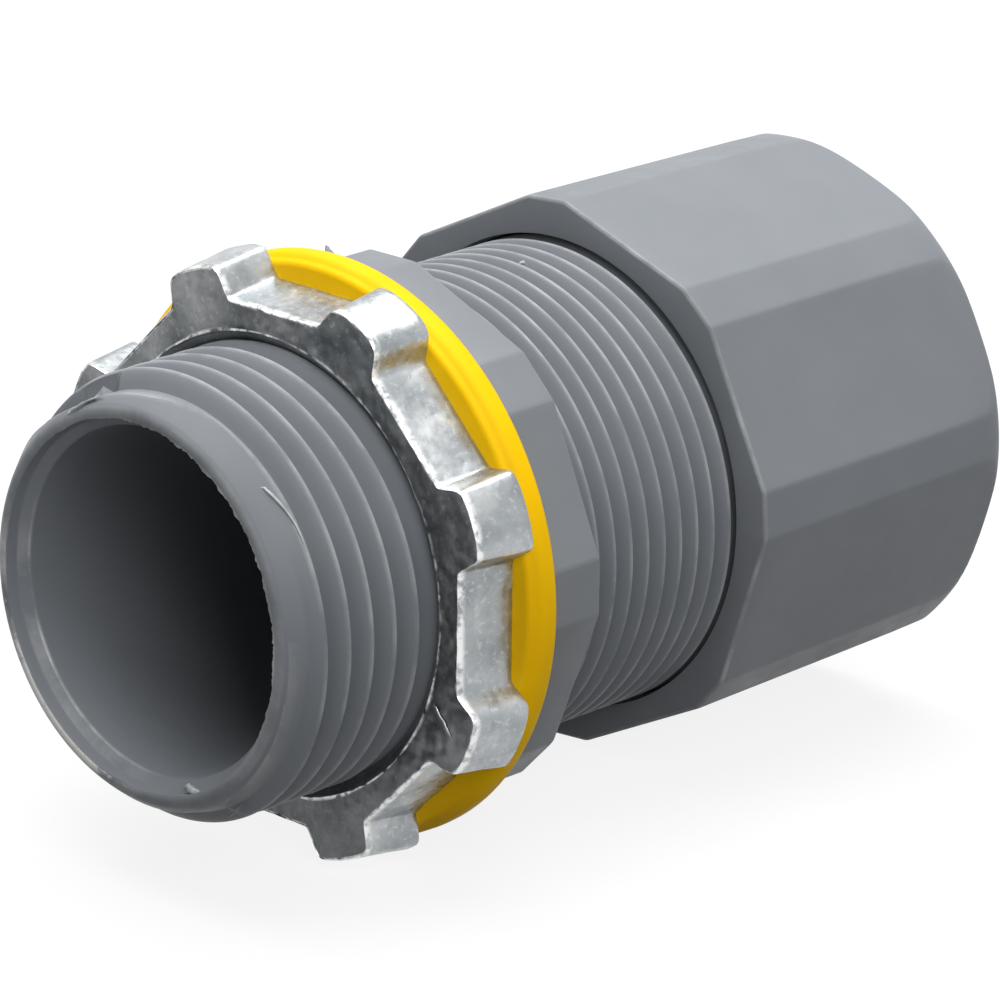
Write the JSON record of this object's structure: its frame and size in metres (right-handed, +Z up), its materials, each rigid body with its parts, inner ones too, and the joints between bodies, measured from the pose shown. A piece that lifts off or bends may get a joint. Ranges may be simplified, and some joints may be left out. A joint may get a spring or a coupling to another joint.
{
  "type": "non-metallic cable connector",
  "caption": "Moulded cable connector: threaded hub with sealing washer and cast locknut, faceted collar, and a gland nut that squeezes a grommet on the cable.",
  "frame": {"origin": "on the connector's axis, in the face of the collar that looks at the enclosure wall", "axes": "+X along the axis from the hub to the gland nut, +Z up as the connector lies on its side"},
  "size_m": [0.0571, 0.0354, 0.0354],
  "materials": {
    "grey_moulding": "satin moulded",
    "yellow_elastomer": "satin",
    "cast_zinc": "bright die-cast skin",
    "black_elastomer": "matt",
    "white_nylon": "satin"
  },
  "bodies": {
    "body": {"body": "grey_moulding", "grommet": "black_elastomer"},
    "sealing_washer": {"sealing_washer": "yellow_elastomer"},
    "locknut": {"locknut": "cast_zinc"},
    "slip_ring": {"slip_ring": "white_nylon"},
    "gland_nut": {"gland_nut": "grey_moulding"}
  },
  "joints": [
    {"name": "washer_travel", "type": "slide", "parent": "body", "child": "sealing_washer", "axis": [1, 0, 0], "range_m": [-0.01, 0]},
    {"name": "locknut_turn", "type": "hinge", "parent": "sealing_washer", "child": "locknut", "pos_m": [-0.004, 0, 0], "axis": [1, 0, 0], "range_deg": [-1980, 0]},
    {"name": "ring_travel", "type": "slide", "parent": "body", "child": "slip_ring", "axis": [1, 0, 0], "range_m": [-0.0074, 0.0045]},
    {"name": "gland_nut_turn", "type": "hinge", "parent": "slip_ring", "child": "gland_nut", "pos_m": [0.0294, 0, 0], "axis": [1, 0, 0], "range_deg": [-1880, 1080]}
  ],
  "couplings": [
    {"joint": "washer_travel", "follows": "locknut_turn", "m_per_rad": 0.00028871},
    {"joint": "ring_travel", "follows": "gland_nut_turn", "m_per_rad": 0.00022458}
  ]
}
